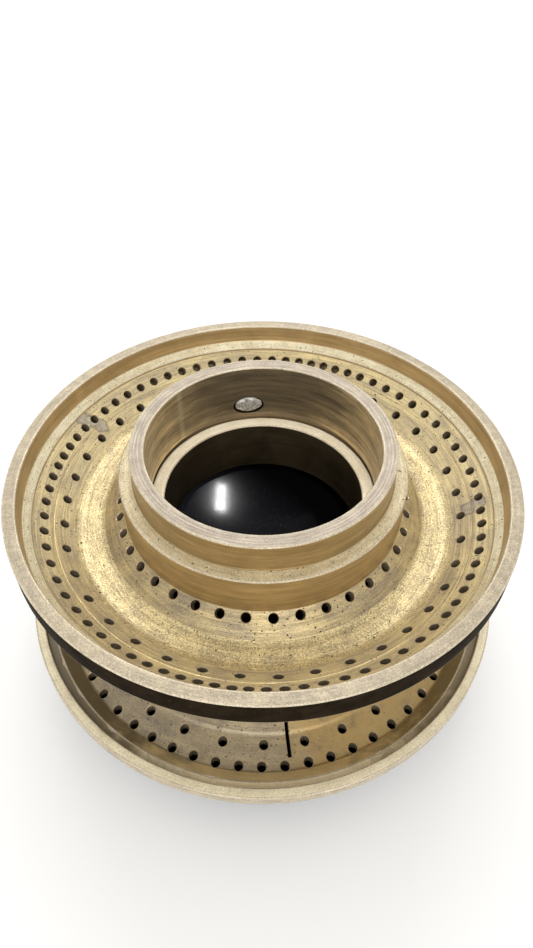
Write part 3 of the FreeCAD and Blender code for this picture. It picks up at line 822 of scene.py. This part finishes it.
def make_pan():
    """Lower head, with its two rows of ports, saw slot and gas passages."""
    neck_r = NECK_HIGH.x
    outline = [
        (neck_r, PAN_HIGH.z - 12, "under"), (neck_r + 1.7, PAN_HIGH.z - 12, "under"),
        (neck_r + 1.7, LOW_CONE_HEAD_Z, "under"), (HUB_R - 3.9, LOW_CONE_HEAD_Z, "under"),
        (HUB_R - 2.3, LOW_CONE_HEAD_Z - 1.9, "under"),
        (LOW_CONE_FOOT[0] - 2.3, LOW_CONE_FOOT[1] - 1.9, "under"),
        (LOW_CONE_FOOT[0] - 0.8, LOW_CONE_FOOT[1] - 3, "under"),
        (LOW_VALLEY[0] + 0.6, LOW_VALLEY[1] - 3, "under"),
        (LOW_VALLEY[0] + 0.6, PAN_LOW.z, "under"), (LOW_RIM_R - 3.4, PAN_LOW.z, "outside", 0.3),
        (LOW_RIM_R, LOW_RIM_Z - 3.6, "outside", 0.6), (LOW_RIM_R, LOW_RIM_Z, "rim_top", 0.4, "edge"),
        (LOW_RIM_IN_R, LOW_RIM_Z, "side", 0.3, "edge"), (LOW_RIM_IN_R - 0.1, LEDGE_Z, "ledge", 0.15),
        (LOW_VALLEY[0] + 4.1, LEDGE_Z, "chatter", 0.25, "edge"), (*LOW_VALLEY, "floor", 0.5),
        (*LOW_CONE_FOOT, "floor", 0.8), (HUB_R, LOW_CONE_HEAD_Z, "floor", 0.6),
        (HUB_R, PAN_HIGH.z, "floor", 0.35), (neck_r, PAN_HIGH.z, "floor")]
    materials = {"other": under, "under": under, "outside": rim_top, "side": low_wall,
                 "rim_top": low_rim_top, "edge": worn_edge, "ledge": ledge, "chatter": chatter,
                 "floor": pan_floor}
    steps = {"other": 1.2, "under": 5.0, "side": 2.0, "chatter": 0.9, "floor": 2.5}
    pan = lathe("lower_pan_turned", outline, pan_angles(), materials, steps, pan_relief)
    bits = Bits()
    slope = (LOW_VALLEY[1] - LOW_CONE_FOOT[1]) / (LOW_VALLEY[0] - LOW_CONE_FOOT[0])
    for row, (count, radius, start, drifts) in enumerate((LOW_OUTER_ROW, LOW_SECOND_ROW)):
        for index, angle in enumerate(indexed_angles(count, start, drifts)):
            point = polar(radius, angle, on_line(LOW_FLOOR, radius))
            bits.drill(point, Vector((0, 0, 1)), slope, 5.5, wobble=0.08, seed=5000 + 1000 * row + index)
    along = polar(1, SLOT_ANGLE, 0)
    sideways = Vector((-along.y, along.x, 0))
    near_end, far_end = SLOT_R
    corners = ((near_end, -SLOT_HALF), (far_end, -SLOT_HALF), (far_end, SLOT_HALF), (near_end, SLOT_HALF))
    rings = []
    for height in (PAN_LOW.z - 1, PAN_HIGH.z - 4):
        rings.append([along * r + sideways * side + Vector((0, 0, height)) for r, side in corners])
    bits.rings(rings, [0])
    for index, angle in enumerate(indexed_angles(12, 15)):
        bits.drill(polar(34.8, angle, PAN_HIGH.z), Vector((0, 0, 1)), 0.0, 12, 1.4, seed=8000 + index)
    cut(pan, bits.make("pan_ports", [port_wall, port_edge]))
    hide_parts("lower_port_pan")
    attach(pan, "lower_head")


def make_neck():
    """Neck pressed into the lower head, on which the upper head turns."""
    outer, low, high = NECK_HIGH.x, NECK_LOW.z, NECK_HIGH.z
    inner = outer - 3.7
    outline = [(inner, low, "wall"), (outer, low, "wall"), (outer, high, "top", 0.4, "edge"),
               (inner, high, "wall", 0.35, "edge")]
    materials = {"other": painted_shade_neck_wall, "wall": painted_shade_neck_wall, "top": neck_top, "edge": worn_edge}
    neck = lathe("lower_neck_turned", outline, even_turn(360), materials, {"other": 1.0, "wall": 3.0}, worn)
    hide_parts("lower_neck")
    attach(neck, "lower_head")
    return neck


# ------------------------------------------------------------------ base

CAP_DISH_R = 60.0
CAP_DISH_BOTTOM = 43.8
CAP_ROWS = 40
POST_WALL = 1.4
POST_ROOF_Z = 42.0


def make_post():
    """Centre post with its dished, enamelled cap."""
    radius, low, high = POST_HIGH.x, POST_LOW.z, POST_HIGH.z
    lip = math.sqrt(CAP_DISH_R ** 2 - (CAP_DISH_R + CAP_DISH_BOTTOM - high) ** 2)
    arc = []
    for step in range(CAP_ROWS, -1, -1):
        r = lip * step / CAP_ROWS
        z = CAP_DISH_BOTTOM + CAP_DISH_R - math.sqrt(CAP_DISH_R ** 2 - r * r)
        arc.append((r, z, "lip" if step == CAP_ROWS else "cap"))
    outline = [(0, POST_ROOF_Z, "wall"), (radius - POST_WALL, POST_ROOF_Z, "wall"),
               (radius - POST_WALL, low, "wall"), (radius, low, "wall"), (radius, high, "lip", 0.3), *arc]
    materials = {"other": bowl_enamel, "cap": cap_enamel, "lip": lip_enamel}
    post = lathe("centre_post_enamelled", outline, even_turn(240), materials, {"other": 4.0})
    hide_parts("centre_post")
    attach(post, "base")
    return post


def finish_cad_nodes():
    """Gives the CAD nodes that stay their materials, and smooths their shading."""
    inlet = brass("inlet_brass", (0.66, 0.54, 0.32), (0.34, 0.265, 0.16), rough=0.3, aniso=0.2, lines=0.4,
                  pitch=0.4, blotch_mm=4)
    materials = {"base_bowl": bowl_enamel, "inlet_bush": inlet, "bowl_gasket": graphite("graphite_sheet"),
                 "locating_dowel": steel("ground_steel"), "upper_seal_ring": graphite("graphite_ring")}
    materials["upper_chamber_pan"] = brass("sheet_brass", (0.34, 0.25, 0.13), (0.20, 0.14, 0.07),
                                           rough=0.42, aniso=0.3, lines=0.3, pitch=0.6, grain=0.4,
                                           grain_mm=0.6, specks=0.2, blotch_mm=12)
    for name, material in materials.items():
        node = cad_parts[name]
        node.data.materials.clear()
        node.data.materials.append(material)
        for polygon in node.data.polygons:
            polygon.material_index = 0
        node.data.shade_smooth()
        node.data.set_sharp_from_angle(angle=SHARP_ANGLE)


bowl_enamel = black_enamel("bowl_enamel", 0.008, 1.40, 0.0)
cap_enamel = black_enamel("cap_enamel", 0.0006, 1.06, 0.22)
lip_enamel = black_enamel("lip_enamel", 0.0008, 1.02, 0.0)
# near-black painted shade for the outer wall of the rim and the plug seat
painted_shade_wall = painted_shade_brass("painted_shade_black")
make_dish()
make_collar()
make_plug()
make_pan()
neck = make_neck()
centre_post = make_post()
finish_cad_nodes()

# ------------------------------------------------------------------ stage, lights and camera


FLOOR_HALF = 6.0


def make_floor():
    """Plain pale floor."""
    g = Graph("pale_floor")
    g.finish(g.mix(g.noise(400, 2), (0.95, 0.95, 0.94), (0.97, 0.97, 0.96)), 0.8)
    mesh = bpy.data.meshes.new("floor")
    corners = [(x * FLOOR_HALF, y * FLOOR_HALF, 0) for x, y in ((-1, -1), (1, -1), (1, 1), (-1, 1))]
    mesh.from_pydata(corners, [], [(0, 1, 2, 3)])
    mesh.materials.append(g.material)
    floor = bpy.data.objects.new("floor", mesh)
    bpy.context.scene.collection.objects.link(floor)


def softbox(name, direction, distance, width, height, power, only=None, sheen=False):
    """Area light that faces the middle of the object, its height along Y. only limits it to one piece, and
    sheen to the highlights it makes."""
    middle = Vector((0, 0, 0.06))
    toward = Vector(direction).normalized()
    across = Vector((0, 1, 0)).cross(toward).normalized()
    data = bpy.data.lights.new(name, "AREA")
    data.shape = "RECTANGLE"
    data.size, data.size_y = width, height
    data.energy = power
    light = bpy.data.objects.new(name, data)
    light.matrix_world = Matrix((across, toward.cross(across), toward)).transposed().to_4x4()
    light.location = middle + toward * distance
    bpy.context.scene.collection.objects.link(light)
    light.visible_diffuse = not sheen
    if only:
        group = bpy.data.collections.new(name + "_lights")
        group.objects.link(only)
        light.light_linking.receiver_collection = group


def make_lights(post, neck):
    """Pale even surroundings, a soft window behind, a soft light in front, and lights for the highlights."""
    world = bpy.data.worlds.new("studio")
    world.use_nodes = True
    world.node_tree.nodes["Background"].inputs["Color"].default_value = (1.0, 0.995, 0.985, 1)
    world.node_tree.nodes["Background"].inputs["Strength"].default_value = 0.84
    bpy.context.scene.world = world
    softbox("window", (-0.02, 0.62, 0.785), 1.3, 0.9, 0.6, 4.6)
    softbox("lamp", (-0.01, 0.62, 0.785), 1.2, 0.10, 0.12, 2.6, sheen=True)
    softbox("flash", (0.177, -0.617, 0.766), 1.0, 0.06, 0.06, 0.4, sheen=True)
    softbox("well", (0.0, -0.22, 0.975), 0.7, 0.10, 0.10, 1.6, neck)
    softbox("front", (0, -0.80, 0.60), 1.4, 1.2, 0.7, 8.0)
    softbox("strip", (0.309, 0.27, 0.91), 0.7, 0.046, 0.19, 45.0, post)


def make_camera():
    """Camera at the front, looking down on the burner."""
    data = bpy.data.cameras.new("camera")
    data.lens = 26.54
    data.sensor_width = 36.0
    data.clip_start = 0.01
    camera = bpy.data.objects.new("camera", data)
    camera.location = (0, -0.13023, 0.20844)
    camera.rotation_euler = Euler([math.radians(a) for a in (43.811, -0.396, 0.059)])
    bpy.context.scene.collection.objects.link(camera)
    bpy.context.scene.camera = camera


make_floor()
make_lights(centre_post, neck)
make_camera()
bpy.context.scene.view_settings.view_transform = "Standard"
